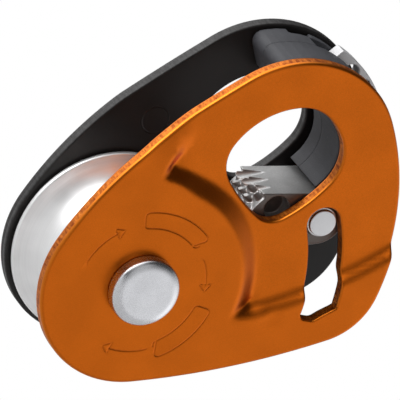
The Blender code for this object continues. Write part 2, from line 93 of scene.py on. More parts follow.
STEP_TURN, STEP_BLEND = 108.0, 22.0             # angle past which the step moves outward
RIB_X, RIB_H, RIB_R = -43.9, 51.9, 74.9         # the lobe's edge is an arc about this point
RIB_LEAD, RIB_RUN = 0.9, 2.5                    # its ramp: how far before the arc, how long
# small pressed dimples, (x, height, depth, width)
DIMPLES = ((18.9, 11.8, 0.30, 0.9), (-13.2, 18.3, 0.28, 1.0), (22.8, 12.9, 0.22, 1.1))
BORE_R, AXLE_HOLE_R = 5.3, 4.1                  # holes round the axle, front and rear plate
RING_AT, RING_MARK_R = (-11.9, 20.4), 2.5       # pressed ring on the rear plate
TREAD_R, HUB_R = 12.5, 9.9                      # sheave: groove floor and bearing seat
AXLE_R, HEAD_R = 4.0, 6.2
CAM_HALF = 5.5                                  # half of the cam's width
TEETH_TOP, TEETH_TIP, TOOTH = 13.6, 17.7, 2.0   # cam radii at both ends of the teeth, tooth height
CAM_START, CAM_SWEEP, TOOTH_ROWS = 203.1, 35.9, 6
TOOTH_LANES = ((-3.9, -1.3, 1.3, 3.9), (-2.6, 0.0, 2.6))
RELIEF_LANES = ((-2.9, 3.4), (0.1, 4.6), (2.9, 5.4))        # y of each relief groove, its reach
CAM_RECESS = (9.4, 26.0)                        # blind hole in the cam's face
SEAM_PULL, SEAM_BAND = 0.19, 0.9                # body halves drawn together at their seam
LEVER_ARC = (1.0, 31.6, 12.5)                   # x, height and radius of the lever spring's seat
LEVER_SEAT = math.radians(48)                   # and its angle


# ---- flat outlines, (x, height over the sheave axle) in millimetres -------------------------
def arc(cx, cz, radius, start, end, steps):
    return [(cx + radius * math.cos(math.radians(start + (end - start) * i / steps)),
             cz + radius * math.sin(math.radians(start + (end - start) * i / steps)))
            for i in range(steps + 1)]


def bulged(corners, bulges, pitch):
    """Closed outline round corner circles, anticlockwise, with one arc radius for each side."""
    centres = []
    count = len(corners)
    for i in range(count):
        ax, az, ar = corners[i]
        bx, bz, br = corners[(i + 1) % count]
        gap = math.hypot(bx - ax, bz - az)
        da, db = bulges[i] - ar, bulges[i] - br
        along = (da * da - db * db + gap * gap) / (2 * gap)
        off = math.sqrt(da * da - along * along)
        ux, uz = (bx - ax) / gap, (bz - az) / gap
        centres.append((ax + ux * along - uz * off, az + uz * along + ux * off))
    points = []
    for i in range(count):
        ax, az, ar = corners[i]
        before, after = centres[i - 1], centres[i]
        start = math.degrees(math.atan2(az - before[1], ax - before[0]))
        end = math.degrees(math.atan2(az - after[1], ax - after[0]))
        while end < start:
            end += 360.0
        points += arc(ax, az, ar, start, end, max(2, round(math.radians(end - start) * ar / pitch)))
        bx, bz, br = corners[(i + 1) % count]
        stop = math.degrees(math.atan2(bz - after[1], bx - after[0]))
        while stop < end:
            stop += 360.0
        steps = max(2, round(math.radians(stop - end) * bulges[i] / pitch))
        points += arc(after[0], after[1], bulges[i], end, stop, steps)[1:-1]
    return points


def plate_outline():
    return bulged(PLATE_CORNERS, PLATE_BULGES, 0.55)


def eye_outline(less=0.0):
    corners = [(x, h, r - less) for x, h, r in EYE_CORNERS]
    return bulged(corners, [r - less for r in EYE_BULGES], 0.4)


def fillet(points, radius, steps=4, closed=True):
    """Corners of a polyline rounded off, radius is one number or one for each point."""
    count = len(points)
    radii = radius if isinstance(radius, (list, tuple)) else [radius] * count
    out = []
    for i, (p, r) in enumerate(zip(points, radii)):
        if r <= 0 or (not closed and i in (0, count - 1)):
            out.append(tuple(p))
            continue
        p = Vector(p)
        a = Vector(points[i - 1]) - p
        b = Vector(points[(i + 1) % count]) - p
        cut = min(r, a.length * 0.48, b.length * 0.48)
        a, b = p + a.normalized() * cut, p + b.normalized() * cut
        for k in range(steps + 1):
            t = k / steps
            out.append(tuple(a * (1 - t) ** 2 + p * 2 * t * (1 - t) + b * t * t))
    return out


def slot_outline():
    a = math.radians(SLOT_END)
    mid, half = (SLOT_IN + SLOT_OUT) / 2, (SLOT_OUT - SLOT_IN) / 2
    upper = arc(0, 0, SLOT_OUT, SLOT_START, SLOT_END, 34)
    upper += arc(mid * math.cos(a), mid * math.sin(a), half, SLOT_END, SLOT_END + 180, 24)[1:-1]
    upper += arc(0, 0, SLOT_IN, SLOT_END, SLOT_IN_START, 34)
    foot = [upper[-1], *SLOT_FOOT, upper[0]]
    return upper + fillet(foot, [0, 0.6, 0.6, 0.9, 0], 5, False)[1:-1]


def circle(cx, cz, radius, steps):
    return arc(cx, cz, radius, 0, 360, steps)[:-1]


def hole(points):
    """Outline turned clockwise, so that metal lies on its left."""
    return points[::-1]


# ---- distances on the flat -----------------------------------------------------------------
def distance(points, loop, closed=True):
    """Least distance from each point to a polyline."""
    a = np.asarray(loop, float)
    b = np.roll(a, -1, 0) if closed else a[1:]
    a = a if closed else a[:-1]
    d = b - a
    size = np.maximum((d * d).sum(1), 1e-12)
    best = np.full(len(points), 1e9)
    for k in range(0, len(points), 4000):
        p = points[k:k + 4000, None, :]
        t = np.clip(((p - a) * d).sum(2) / size, 0, 1)
        gap = p - (a + t[..., None] * d)
        best[k:k + 4000] = np.sqrt((gap * gap).sum(2)).min(1)
    return best


def inside(points, loops):
    """True where a point has metal, by counting crossings of all the loops."""
    odd = np.zeros(len(points), bool)
    for loop in loops:
        a = np.asarray(loop, float)
        b = np.roll(a, -1, 0)
        for k in range(0, len(points), 4000):
            x, z = points[k:k + 4000, 0, None], points[k:k + 4000, 1, None]
            cross = (a[:, 1] > z) != (b[:, 1] > z)
            rise = np.where(np.abs(b[:, 1] - a[:, 1]) < 1e-12, 1e-12, b[:, 1] - a[:, 1])
            hit = cross & (x < (b[:, 0] - a[:, 0]) * (z - a[:, 1]) / rise + a[:, 0])
            odd[k:k + 4000] ^= (hit.sum(1) % 2).astype(bool)
    return odd


def shifted(loop, amount):
    """Points of a loop moved to its left, into the metal."""
    p = np.asarray(loop, float)
    t = np.roll(p, -1, 0) - np.roll(p, 1, 0)
    t /= np.maximum(np.linalg.norm(t, axis=1), 1e-9)[:, None]
    return p + np.stack([-t[:, 1], t[:, 0]], 1) * amount


def smooth(t):
    t = np.clip(t, 0.0, 1.0)
    return t * t * (3 - 2 * t)


def eased(t, blend=0.25):
    """Straight ramp from 0 to 1 with short rounded ends."""
    t = np.clip(t, 0.0, 1.0)
    slow = 2 * blend * (1 - blend)
    return np.where(t < blend, t * t / slow, np.where(t > 1 - blend, 1 - (1 - t) ** 2 / slow,
                                                      (t - blend / 2) / (1 - blend)))


# ---- placing pieces ------------------------------------------------------------------------
def put(obj, body, nodes, mat):
    obj.data.materials.clear()
    obj.data.materials.append(mat)
    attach(obj, body)
    if nodes:
        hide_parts(*nodes)
    return obj


def finish_mesh(obj, sharp=40):
    obj.data.shade_smooth()
    obj.data.set_sharp_from_angle(angle=math.radians(sharp))
    return obj


def sheet_metal(name, loops, near, far, edge, grid, fine=None, lines=(), groove=(0.16, 0.085),
                waist=0.0):
    """Plate with pressed form, rounded edges and engraved lines.

    near and far give y on the two faces for arrays of x and height. edge is one (near, far)
    pair of edge radii for each loop. fine picks where the grid is dense. groove gives half the
    width and the depth of the engraved lines. waist pulls the middle of the edge wall in.
    """
    points = []
    seams = []
    for loop in loops:
        first = len(points)
        points += [tuple(p) for p in loop]
        seams += [(first + i, first + (i + 1) % len(loop)) for i in range(len(loop))]
    extra = []
    for loop, (r_near, r_far) in zip(loops, edge):
        rings = {r * (1 - math.sin(math.radians(a))) for r in (r_near, r_far) for a in (0, 22, 45, 67)}
        rings |= {max(r_near, r_far) + 0.12, max(r_near, r_far) + 0.45}
        for s in sorted(rings):
            if s > 0.02:
                ring = shifted(loop, s)
                extra.append(ring[distance(ring, loop) > s - 0.03])
    for line in lines:
        for s in (0.0, groove[0], groove[0] + 0.1):
            p = np.asarray(line, float)
            t = np.gradient(p, axis=0)
            t /= np.maximum(np.linalg.norm(t, axis=1), 1e-9)[:, None]
            side = np.stack([-t[:, 1], t[:, 0]], 1) * s
            extra.append(p + side)
            if s > 0:
                extra.append(p - side)
    low = np.min([np.min(loop, 0) for loop in loops], 0)
    high = np.max([np.max(loop, 0) for loop in loops], 0)
    for pitch, dense in ((grid, False), (grid * 0.45, True)):
        if dense and fine is None:
            continue
        xs = np.arange(low[0], high[0], pitch)
        zs = np.arange(low[1], high[1], pitch * 0.866)
        gx, gz = np.meshgrid(xs, zs)
        gx = gx + (np.arange(len(zs)) % 2)[:, None] * pitch / 2
        p = np.stack([gx.ravel(), gz.ravel()], 1)
        p = p[inside(p, loops)]
        keep = np.ones(len(p), bool)
        for loop, radii in zip(loops, edge):
            keep &= distance(p, loop) > max(radii) + 0.45 + pitch * 0.4
        for line in lines:
            keep &= distance(p, line, False) > groove[0] + 0.1 + pitch * 0.35
        p = p[keep]
        if fine is not None:
            wanted = fine(p[:, 0], p[:, 1])
            p = p[wanted if dense else ~wanted]
        extra.append(p)
    cloud = np.concatenate([np.asarray(points)] + extra)
    cloud = [Vector(p) for p in cloud]
    verts, _, faces, origin, _, _ = geometry.delaunay_2d_cdt(cloud, seams, [], 0, 1e-5)
    flat = np.array([tuple(v) for v in verts])
    where = {}
    for i, sources in enumerate(origin):
        for s in sources:
            where[s] = i
    faces = [f for f in faces if len(f) == 3]
    centres = flat[np.array(faces)].mean(1)
    solid = inside(centres, loops)
    faces = [f for f, s in zip(faces, solid) if s]

    drop_near = np.zeros(len(flat))
    drop_far = np.zeros(len(flat))
    rim = np.zeros(len(flat))
    for loop, (r_near, r_far) in zip(loops, edge):
        s = distance(flat, loop)
        for r, drop in ((r_near, drop_near), (r_far, drop_far)):
            k = s < r
            drop[k] = np.maximum(drop[k], r - np.sqrt(np.maximum(r * r - (r - s[k]) ** 2, 0)))
        rim = np.maximum(rim, np.clip(1 - s / max(r_near, 1e-3), 0, 1))
    y_near = near(flat[:, 0], flat[:, 1]) + drop_near
    y_far = far(flat[:, 0], flat[:, 1]) - drop_far
    for line in lines:
        s = distance(flat, line, False)
        y_near += groove[1] * smooth(1 - s / groove[0])

    mesh = bpy.data.meshes.new(name)
    count = len(flat)
    co = [at(flat[i, 0], y_near[i], flat[i, 1]) for i in range(count)]
    co += [at(flat[i, 0], y_far[i], flat[i, 1]) for i in range(count)]
    tags = list(rim * 0.9) + [0.5] * count
    polys = [tuple(f) for f in faces] + [tuple(count + i for i in reversed(f)) for f in faces]
    first = 0
    for loop in loops:
        ids = [where[first + i] for i in range(len(loop))]
        first += len(loop)
        wall_rows = []
        wall = np.asarray(loop, float)
        inner = shifted(loop, waist)
        for share in (0.12, 0.38, 0.5, 0.62, 0.88):
            row = []
            base = inner if share == 0.5 else wall
            for i, v in enumerate(ids):
                row.append(len(co))
                co.append(at(base[i, 0], y_near[v] + (y_far[v] - y_near[v]) * share, base[i, 1]))
                tags.append(1.0)
            wall_rows.append(row)
        rows = [ids] + wall_rows + [[count + v for v in ids]]
        for a, b in zip(rows, rows[1:]):
            for i in range(len(loop)):
                j = (i + 1) % len(loop)
                polys.append((a[i], b[i], b[j], a[j]))
    mesh.from_pydata(co, [], polys)
    bm = bmesh.new()
    bm.from_mesh(mesh)
    loose = [v for v in bm.verts if not v.link_faces]
    layer = bm.verts.layers.float.new("rim")
    bm.verts.ensure_lookup_table()
    for v, tag in zip(bm.verts, tags):
        v[layer] = tag
    bmesh.ops.delete(bm, geom=loose, context="VERTS")
    bmesh.ops.recalc_face_normals(bm, faces=bm.faces)
    bm.to_mesh(mesh)
    bm.free()
    obj = bpy.data.objects.new(name, mesh)
    bpy.context.scene.collection.objects.link(obj)
    return finish_mesh(obj, 50)


def turned(name, profile, centre, steps=96, sharp=40):
    """(radius, y) profile turned about the Y line through centre, millimetres."""
    cx, ch = centre
    bm = bmesh.new()
    rings = []
    for r, y in profile:
        if r < 1e-6:
            rings.append([bm.verts.new(at(cx, y, ch))])
        else:
            rings.append([bm.verts.new(at(cx + r * math.cos(2 * math.pi * k / steps), y,
                                          ch + r * math.sin(2 * math.pi * k / steps)))
                          for k in range(steps)])
    pairs = list(zip(rings, rings[1:] + rings[:1]))
    for a, b in pairs:
        if len(a) == 1 and len(b) == 1:
            continue
        for k in range(steps):
            j = (k + 1) % steps
            if len(a) == 1:
                bm.faces.new((a[0], b[k], b[j]))
            elif len(b) == 1:
                bm.faces.new((a[k], b[0], a[j]))
            else:
                bm.faces.new((a[k], b[k], b[j], a[j]))
    bmesh.ops.recalc_face_normals(bm, faces=bm.faces)
    mesh = bpy.data.meshes.new(name)
    bm.to_mesh(mesh)
    bm.free()
    obj = bpy.data.objects.new(name, mesh)
    bpy.context.scene.collection.objects.link(obj)
    return finish_mesh(obj, sharp)


def softened(name, source, voxel, rounds, keep):
    """Copy of a mesh with every edge worn round, by remeshing and relaxing it.

    keep is the share of the faces that is left.
    """
    obj = bpy.data.objects.new(name, source.copy())
    bpy.context.scene.collection.objects.link(obj)
    mod = obj.modifiers.new("remesh", "REMESH")
    mod.mode = "VOXEL"
    mod.voxel_size = voxel * MM
    mod.adaptivity = 0.0
    mod = obj.modifiers.new("relax", "SMOOTH")
    mod.factor = 0.5
    mod.iterations = rounds
    mod = obj.modifiers.new("reduce", "DECIMATE")
    mod.ratio = keep
    graph = bpy.context.evaluated_depsgraph_get()
    mesh = bpy.data.meshes.new_from_object(obj.evaluated_get(graph))
    obj.modifiers.clear()
    obj.data = mesh
    mesh.shade_smooth()
    return obj


# ---- materials -----------------------------------------------------------------------------
class Finish:
    """A Principled material put together from small procedural layers."""

    def __init__(self, name, colour, metallic, roughness, **sockets):
        self.mat = bpy.data.materials.new(name)
        self.mat.use_nodes = True
        self.tree = self.mat.node_tree
        self.bsdf = self.tree.nodes["Principled BSDF"]
        self.colour = colour
        self.bsdf.inputs["Base Color"].default_value = (*colour, 1)
        self.bsdf.inputs["Metallic"].default_value = metallic
        self.bsdf.inputs["Roughness"].default_value = roughness
        for key, value in sockets.items():
            self.bsdf.inputs[key.replace("_", " ")].default_value = value
        self.place = self.node("ShaderNodeTexCoord").outputs["Object"]
        self.shade = None
        self.rough = None
        self.normal = None

    def node(self, kind, **values):
        n = self.tree.nodes.new(kind)
        for key, value in values.items():
            setattr(n, key, value)
        return n

    def link(self, a, b):
        self.tree.links.new(a, b)

    def noise(self, size, detail=2.0, rough=0.5, stretch=None, place=None):
        """Noise whose features are about size millimetres."""
        n = self.node("ShaderNodeTexNoise")
        n.inputs["Scale"].default_value = 1 / (size * MM)
        n.inputs["Detail"].default_value = detail
        n.inputs["Roughness"].default_value = rough
        source = place or self.place
        if stretch:
            m = self.node("ShaderNodeMapping")
            m.inputs["Scale"].default_value = stretch
            self.link(source, m.inputs["Vector"])
            source = m.outputs["Vector"]
        self.link(source, n.inputs["Vector"])
        return n.outputs["Fac"]

    def ramp(self, value, low, high, out_low, out_high):
        m = self.node("ShaderNodeMapRange")
        m.inputs["From Min"].default_value = low
        m.inputs["From Max"].default_value = high
        m.inputs["To Min"].default_value = out_low
        m.inputs["To Max"].default_value = out_high
        self.link(value, m.inputs["Value"])
        return m.outputs["Result"]

    def mix(self, factor, a, b):
        m = self.node("ShaderNodeMix", data_type="RGBA")
        self.link(factor, m.inputs["Factor"])
        for value, socket in ((a, m.inputs["A"]), (b, m.inputs["B"])):
            if isinstance(value, (tuple, list)):
                socket.default_value = (*value, 1)
            else:
                self.link(value, socket)
        return m.outputs["Result"]

    def tint(self, value, low, high, dark, light):
        """Colour runs between dark and light shares of the base colour with a noise value."""
        factor = self.ramp(value, low, high, 0, 1)
        a = tuple(c * dark for c in self.colour)
        b = tuple(min(1.0, c * light) for c in self.colour)
        if self.shade is None:
            self.shade = self.mix(factor, a, b)
        else:
            m = self.node("ShaderNodeMix", data_type="RGBA", blend_type="MULTIPLY")
            m.inputs["Factor"].default_value = 1
            self.link(self.shade, m.inputs["A"])
            self.link(self.mix(factor, (dark,) * 3, (light,) * 3), m.inputs["B"])
            self.shade = m.outputs["Result"]
        return self

    def over(self, factor, colour):
        self.shade = self.mix(factor, self.shade or self.colour, colour)
        return self

    def vary_rough(self, value, low, high, a, b):
        self.rough = self.ramp(value, low, high, a, b)
        return self

    def bump(self, value, height):
        """Surface relief, height in millimetres."""
        n = self.node("ShaderNodeBump")
        n.inputs["Strength"].default_value = 1.0
        n.inputs["Distance"].default_value = height * MM
        self.link(value, n.inputs["Height"])
        if self.normal is not None:
            self.link(self.normal, n.inputs["Normal"])
        self.normal = n.outputs["Normal"]
        return self

    def rim(self):
        n = self.node("ShaderNodeAttribute", attribute_name="rim")
        return n.outputs["Fac"]

    def rings(self, centre):
        """Coordinates (radius, y) about the Y line through centre, for turned marks."""
        m = self.node("ShaderNodeVectorMath", operation="SUBTRACT")
        m.inputs[1].default_value = centre
        self.link(self.place, m.inputs[0])
        parts = self.node("ShaderNodeSeparateXYZ")
        self.link(m.outputs[0], parts.inputs[0])
        flat = self.node("ShaderNodeCombineXYZ")
        self.link(parts.outputs["X"], flat.inputs["X"])
        self.link(parts.outputs["Z"], flat.inputs["Y"])
        length = self.node("ShaderNodeVectorMath", operation="LENGTH")
        self.link(flat.outputs[0], length.inputs[0])
        out = self.node("ShaderNodeCombineXYZ")
        self.link(length.outputs["Value"], out.inputs["X"])
        self.link(parts.outputs["Y"], out.inputs["Y"])
        return out.outputs[0]

    def done(self):
        if self.shade is not None:
            self.link(self.shade, self.bsdf.inputs["Base Color"])
        if self.rough is not None:
            self.link(self.rough, self.bsdf.inputs["Roughness"])
        if self.normal is not None:
            self.link(self.normal, self.bsdf.inputs["Normal"])
        return self.mat


def orange_anodised():
    f = Finish("orange_anodised", (0.60, 0.128, 0.0085), 1.0, 0.33)
    grain = f.noise(0.16, 3, 0.6)
    f.tint(f.noise(9, 2), 0.35, 0.65, 0.94, 1.04)
    f.tint(grain, 0.3, 0.7, 0.86, 1.08)
    rim = f.rim()
    # lighter, yellower rounded edges: partly the thinner anodising on the edge, partly a painted highlight
    f.over(f.ramp(rim, 0.25, 0.8, 0, 0.4), (0.74, 0.25, 0.03))
    wall = f.ramp(rim, 0.93, 0.99, 0, 1)
    # edge wall: streaky tone of the sheared metal, with its light streaks as painted glints
    streak = f.noise(0.5, 4, 0.7, (1, 0.25, 1))
    wall_streaks_glints = f.mix(f.ramp(streak, 0.35, 0.68, 0, 1), (0.26, 0.045, 0.004), (0.78, 0.24, 0.03))
    f.shade = f.mix(wall, f.shade, wall_streaks_glints)
    f.vary_rough(grain, 0.3, 0.7, 0.28, 0.36)
    m = f.node("ShaderNodeMix", data_type="FLOAT")
    f.link(wall, m.inputs["Factor"])
    f.link(f.rough, m.inputs["A"])
    m.inputs["B"].default_value = 0.5
    f.rough = m.outputs["Result"]
    f.bump(grain, 0.006)
    return f.done()


def black_anodised():
    f = Finish("black_anodised", (0.011, 0.009, 0.0085), 0.0, 0.42, Specular_IOR_Level=0.3)
    grain = f.noise(0.2, 3, 0.6)
    f.tint(f.noise(8, 2), 0.35, 0.65, 0.85, 1.15)
    f.tint(grain, 0.3, 0.7, 0.8, 1.25)
    rim = f.rim()
    streak = f.noise(0.45, 4, 0.7, (1, 0.2, 1))
    f.shade = f.mix(f.ramp(rim, 0.3, 0.95, 0, 0.8), f.shade,
                    f.mix(f.ramp(streak, 0.4, 0.7, 0, 1), (0.014, 0.013, 0.013), (0.062, 0.061, 0.062)))
    f.vary_rough(grain, 0.3, 0.7, 0.38, 0.5)
    f.bump(grain, 0.006)
    return f.done()


def bare_aluminium():
    f = Finish("bare_aluminium", (0.90, 0.90, 0.905), 0.8, 0.4)
    turn = f.rings(tuple(AXLE))
    marks = f.noise(0.09, 3, 0.65, None, turn)
    f.tint(f.noise(6, 2), 0.35, 0.65, 0.95, 1.03)
    f.tint(marks, 0.35, 0.65, 0.93, 1.03)
    f.vary_rough(f.noise(3.5, 3), 0.3, 0.7, 0.36, 0.46)
    f.bump(marks, 0.004)
    return f.done()


def satin_steel(name, colour, rough, centre=None, metallic=1.0):
    f = Finish(name, colour, metallic, rough)
    speck = f.noise(0.22, 3, 0.6)
    f.tint(f.noise(4, 2), 0.35, 0.65, 0.95, 1.04)
    f.tint(speck, 0.3, 0.7, 0.97, 1.02)
    f.vary_rough(speck, 0.3, 0.7, rough - 0.02, rough + 0.03)
    f.bump(speck, 0.0012)
    if centre is not None:
        f.bump(f.noise(0.12, 2, 0.5, None, f.rings(centre)), 0.0006)
    return f.done()


def cast_steel():
    f = Finish("cast_stainless", (0.52, 0.52, 0.52), 0.85, 0.42)
    grain = f.noise(0.28, 4, 0.65)
    f.tint(f.noise(3.5, 3), 0.3, 0.7, 0.88, 1.06)
    f.tint(grain, 0.3, 0.7, 0.82, 1.1)
    # painted shade: faces turned to the near side (-Y) are darkened, with a brown tint as a painted
    # reflection of the orange plate
    front_shade = f.node("ShaderNodeSeparateXYZ")
    f.link(f.node("ShaderNodeTexCoord").outputs["Normal"], front_shade.inputs[0])
    f.over(f.ramp(front_shade.outputs["Y"], -0.35, -0.85, 0, 0.85), (0.085, 0.06, 0.048))
    f.vary_rough(grain, 0.3, 0.7, 0.36, 0.52)
    f.bump(grain, 0.02)
    return f.done()


def charcoal_plastic():
    f = Finish("charcoal_plastic", (0.040, 0.041, 0.047), 0.0, 0.55, Specular_IOR_Level=0.35)
    grain = f.noise(0.3, 3, 0.6)
    f.tint(f.noise(5, 2), 0.35, 0.65, 0.88, 1.12)
    f.tint(grain, 0.3, 0.7, 0.8, 1.22)
    f.over(f.ramp(f.noise(0.35, 1), 0.69, 0.74, 0, 0.35), (0.11, 0.11, 0.12))
    f.vary_rough(grain, 0.3, 0.7, 0.5, 0.66)
    f.bump(grain, 0.03)
    return f.done()


def rubber():
    f = Finish("seal_rubber", (0.022, 0.022, 0.024), 0.0, 0.66)
    grain = f.noise(0.25, 3)
    f.tint(grain, 0.3, 0.7, 0.8, 1.3)
    f.bump(grain, 0.015)
    return f.done()


def acetal():
    f = Finish("acetal", (0.62, 0.59, 0.52), 0.0, 0.42)
    f.tint(f.noise(2.5, 2), 0.35, 0.65, 0.93, 1.05)
    marks = f.noise(0.12, 2, 0.6, None, f.rings(tuple(AXLE)))
    f.tint(marks, 0.35, 0.65, 0.95, 1.04)
    f.bump(marks, 0.004)
    return f.done()


ORANGE = orange_anodised()
BLACK = black_anodised()
ALUMINIUM = bare_aluminium()
HEAD_STEEL = satin_steel("axle_steel", (0.70, 0.705, 0.735), 0.26, tuple(AXLE))
PIN_STEEL = satin_steel("pin_steel", (0.60, 0.60, 0.615), 0.3)
RACE_STEEL = satin_steel("bearing_steel", (0.62, 0.62, 0.63), 0.16, tuple(AXLE))
WIRE = satin_steel("spring_wire", (0.58, 0.57, 0.56), 0.24)
LEVER_STEEL = satin_steel("lever_steel", (0.60, 0.60, 0.61), 0.45, None, 0.4)
CAST = cast_steel()
PLASTIC = charcoal_plastic()
RUBBER = rubber()
LINER = acetal()


# ---- swinging side plate -------------------------------------------------------------------
def sunk(x, h):
    """How far the metal lies behind the foot's plane, millimetres."""
    r = np.hypot(x, h)
    turned_on = smooth((np.degrees(np.arctan2(h, x)) - STEP_TURN) / STEP_BLEND)
    foot = STEP_FOOT + 1.9 * turned_on
    crest = STEP_CREST + 0.5 * turned_on
    step = eased((r - foot) / (crest - foot))
    u = np.hypot(x - RIB_X, h - RIB_H) - RIB_R
    lobe = eased((u + RIB_LEAD) / RIB_RUN, 0.45)
    slope = smooth((h - 14.5) / 13.0)
    edge = smooth((x + 15.2 + 0.25 * (h - 18.0)) / 2.2)
    depth = step * (slope + (1 - slope) * edge)
    out = RECESS * depth * (1 - lobe)
    out -= 0.02 * np.exp(-((u - 1.9) / 1.0) ** 2) * smooth((r - 22.0) / 3.0)
    for dx, dh, deep, wide in DIMPLES:
        out = out + deep * np.exp(-((x - dx) ** 2 + (h - dh) ** 2) / (2 * wide ** 2))
    return out


def marks():
    """Generic engraved signs: two rounded boxes and three arrows round the axle."""
    lines = []

    def polar(r, a):
        return (r * math.cos(math.radians(a)), r * math.sin(math.radians(a)))

    def dense(points):
        out = [points[0]]
        for a, b in zip(points, points[1:]):
            n = max(1, round(math.dist(a, b) / 0.35))
            out += [(a[0] + (b[0] - a[0]) * i / n, a[1] + (b[1] - a[1]) * i / n) for i in range(1, n + 1)]
        return out

    for r0, r1, a0, a1 in ((11.2, 14.2, 83, 140), (11.2, 14.4, -27, 25)):
        wide = math.radians(a1 - a0) * (r0 + r1) / 2
        flat = dense(fillet([(0, r0), (wide, r0), (wide, r1), (0, r1)], 0.9, 6) + [(0.9, r0)])
        lines.append([polar(r, a0 + (a1 - a0) * w / wide) for w, r in flat])
    for a0, a1, r in ((199, 164, 12.0), (-33, -66, 12.2), (68, 45, 11.8)):
        lines.append(dense([polar(r, a0 + (a1 - a0) * i / 16) for i in range(17)]))
        tip = polar(r, a1 - 7)
        left, right = polar(r - 1.1, a1 + 0.5), polar(r + 1.1, a1 + 0.5)
        lines.append(dense([left, tip, right, left]))
    return lines


front_loops = [plate_outline(), hole(eye_outline()), hole(slot_outline()),
               hole(circle(0, 0, BORE_R, 64))]
swing = sheet_metal(
    "swing_plate", front_loops,
    lambda x, h: -OUTER + sunk(x, h),
    lambda x, h: -OUTER + PLATE_T + sunk(x, h),
    [(0.55, 0.25), (0.45, 0.25), (0.35, 0.2), (0.1, 0.1)], 1.6,
    lambda x, h: (np.hypot(x, h) > 17.0) & (np.hypot(x, h) < 25.5)
    | (np.abs(np.hypot(x - RIB_X, h - RIB_H) - RIB_R - 1.7) < 4.2),
    marks())
put(swing, "swing_plate", ["swing_side_plate"], ORANGE)

# ---- rear side plate -----------------------------------------------------------------------
rear_loops = [plate_outline(), hole(eye_outline(REAR_EYE_LESS)), hole(circle(0, 0, AXLE_HOLE_R, 48)),
              hole(circle(CAM_X, CAM_H, 2.5, 32)), hole(circle(*spot("catch_pin"), 1.2, 24))]
rear_loops += [hole(circle(*rivet, 1.6, 24)) for rivet in RIVETS]
ring_mark = arc(*RING_AT, RING_MARK_R, 0, 360, 60)
rear = sheet_metal(
    "rear_plate", rear_loops,
    lambda x, h: np.full(len(x), INNER), lambda x, h: np.full(len(x), OUTER),
    [(0.35, 0.35), (0.35, 0.35), (0.1, 1.0), (0.1, 0.2), (0.1, 0.15), (0.1, 0.15), (0.1, 0.15)], 3.0,
    None, [ring_mark], (0.2, 0.12), 0.07)
put(rear, "frame", ["rear_side_plate"], BLACK)

# ---- sheave --------------------------------------------------------------------------------
SHEAVE_R = (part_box("sheave")[1].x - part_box("sheave")[0].x) / 2 / MM
SHEAVE_HALF = span("sheave")[1]
flank = [(TREAD_R, 0.0), (12.53, 0.8), (12.66, 1.7), (12.95, 2.7), (13.5, 3.7), (14.3, 4.6),
         (15.4, 5.4), (16.4, 5.85)]
rim = fillet([(16.4, 5.85), (SHEAVE_R, 6.25), (SHEAVE_R, SHEAVE_HALF), (11.5, SHEAVE_HALF),
              (11.1, 4.6), (HUB_R, 4.4), (HUB_R, 0)], [0, 0.35, 0.35, 0.3, 0.2, 0.15, 0], 4, False)
half = flank + rim[1:-1]
profile = half + [(r, -y) for r, y in half[:0:-1]]
put(turned("sheave_wheel", profile, (0, 0), 160, 45), "sheave", ["sheave"], ALUMINIUM)

# ---- sheave axle ---------------------------------------------------------------------------
y_face, y_end = span("sheave_axle")
y_head = -OUTER - 0.15
head = fillet([(0, y_face), (4.9, y_face + 0.04), (HEAD_R, y_face + 0.55), (HEAD_R, y_head),
               (AXLE_R, y_head)], [0, 0.9, 1.1, 0.2, 0], 8, False)
shank = [(AXLE_R, y_end - 0.95), (4.85, y_end - 0.05), (4.6, y_end), (0, y_end)]
put(turned("axle_bolt", head + shank, (0, 0), 128, 30), "frame",
    ["sheave_axle"], HEAD_STEEL)


# ---- round parts -----------------------------------------------------------------------------
def ring_piece(name, node, inner, body, mat, edge=0.12, steps=72):
    """Round part that follows its node's box, with eased edges. inner 0 makes it solid."""
    low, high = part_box(node)
    radius = (high.x - low.x) / 2 / MM
    c = (low + high) / 2
    y0, y1 = low.y / MM, high.y / MM
    if inner > 0:
        outline = fillet([(inner, y0), (radius, y0), (radius, y1), (inner, y1)], edge, 3)
    else:
        outline = fillet([(0, y0), (radius, y0), (radius, y1), (0, y1)], [0, edge, edge, 0], 3, False)
    obj = turned(name, outline, (c.x / MM, c.z / MM - AXLE_Z), steps, 40)
    return put(obj, body, [node], mat)


ring_piece("washer", "swing_washer", 4.15, "frame", LINER)
ring_piece("bush", "swing_bush", 4.15, "frame", LINER)
ring_piece("spacer_near", "spacer_front", 4.15, "frame", ALUMINIUM, 0.2)
ring_piece("spacer_far", "spacer_rear", 4.15, "frame", ALUMINIUM, 0.2)
ring_piece("seal_near", "bearing_seal_front", 5.95, "sheave", RUBBER)
ring_piece("seal_far", "bearing_seal_rear", 5.95, "sheave", RUBBER)
ring_piece("cam_sleeve", "cam_bush", 2.5, "cam", LINER, 0.05, 48)
ring_piece("lever_pin", "catch_pin", 0, "frame", PIN_STEEL, 0.2, 32)
for side, node in (("outer", "bearing_outer_race"), ("inner", "bearing_inner_race")):
    half_w = span(node)[1]
    if side == "outer":
        race = [(9.7, -half_w), (9.7, half_w), (8.6, half_w), (8.6, 1.3), (8.83, 0.8), (8.95, 0),
                (8.83, -0.8), (8.6, -1.3), (8.6, -half_w)]
        soft = [0.25, 0.25, 0.15, 0.1, 0, 0, 0, 0.1, 0.15]
    else:
        race = [(4.15, -half_w), (5.7, -half_w), (5.7, -1.3), (5.47, -0.8), (5.35, 0), (5.47, 0.8),
                (5.7, 1.3), (5.7, half_w), (4.15, half_w)]
        soft = [0.2, 0.15, 0.1, 0, 0, 0, 0.1, 0.15, 0.2]
    put(turned(f"race_{side}", fillet(race, soft, 3), (0, 0), 96, 40),
        "sheave" if side == "outer" else "frame", [node], RACE_STEEL)
